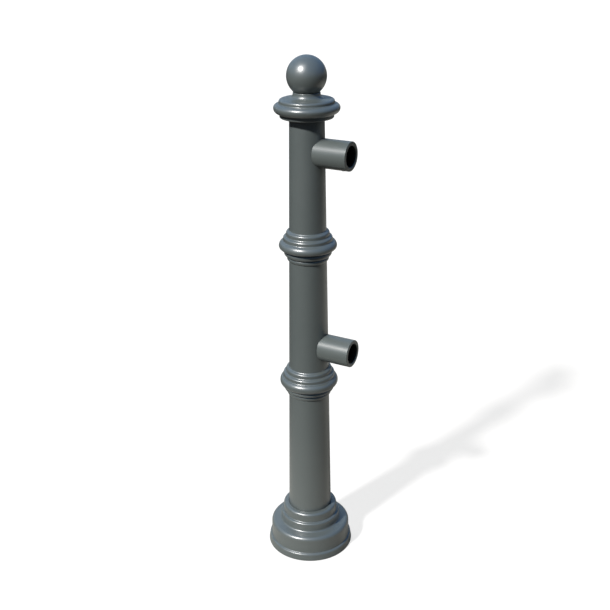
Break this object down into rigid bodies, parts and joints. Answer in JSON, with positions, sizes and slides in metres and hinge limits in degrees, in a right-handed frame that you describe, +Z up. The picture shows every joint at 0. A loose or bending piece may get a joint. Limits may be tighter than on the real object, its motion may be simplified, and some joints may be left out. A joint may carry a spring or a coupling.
{
  "type": "barrier end post",
  "caption": "Floor-fixed barrier end post: tapering round shaft with ring mouldings, ball finial, slip-on base bell and open side sockets that hold round rails.",
  "frame": {"origin": "centre of the post on the ground, at the underside of the ground gasket", "axes": "+Z up the post's axis, +X the way the rails leave their sockets"},
  "size_m": [0.2026, 0.1932, 1.1135],
  "materials": {
    "gloss_paint": "gloss",
    "satin_paint": "satin",
    "plain_steel": "satin",
    "black_rubber": "matte"
  },
  "bodies": {
    "post": {"finial_stud": "plain_steel", "clamp_nut": "plain_steel", "clamp_washer": "plain_steel", "cap": "gloss_paint", "cap_gasket": "black_rubber", "top_plug": "plain_steel", "upper_shaft": "gloss_paint", "upper_sleeve": "plain_steel", "upper_ring": "gloss_paint", "middle_shaft": "gloss_paint", "lower_sleeve": "plain_steel", "lower_ring": "gloss_paint", "lower_shaft": "gloss_paint", "ring_screws": "plain_steel", "core_tube": "plain_steel", "upper_socket": "satin_paint", "lower_socket": "satin_paint", "socket_screws": "plain_steel", "socket_washers": "plain_steel", "socket_inserts": "plain_steel", "base_plate": "plain_steel", "ground_gasket": "black_rubber"},
    "finial_seat": {"finial_seal": "black_rubber"},
    "finial": {"ball_finial": "gloss_paint"},
    "base_cover": {"base_bell": "gloss_paint", "bell_screws": "plain_steel"},
    "upper_clamp": {"upper_rail_screw": "plain_steel"},
    "lower_clamp": {"lower_rail_screw": "plain_steel"}
  },
  "joints": [
    {"name": "finial_lift", "type": "slide", "parent": "post", "child": "finial_seat", "axis": [0, 0, 1], "range_m": [0, 0.0201]},
    {"name": "finial_turn", "type": "hinge", "parent": "finial_seat", "child": "finial", "pos_m": [0, 0, 1.0739], "axis": [0, 0, 1], "range_deg": [0, 3600]},
    {"name": "bell_slide", "type": "slide", "parent": "post", "child": "base_cover", "axis": [0, 0, 1], "range_m": [0, 0.26]},
    {"name": "upper_rail_grip", "type": "slide", "parent": "post", "child": "upper_clamp", "axis": [0, 0, 1], "range_m": [-0.005, 0.002]},
    {"name": "lower_rail_grip", "type": "slide", "parent": "post", "child": "lower_clamp", "axis": [0, 0, 1], "range_m": [-0.005, 0.002]}
  ],
  "couplings": [
    {"joint": "finial_lift", "follows": "finial_turn", "m_per_rad": 0.00031831}
  ]
}
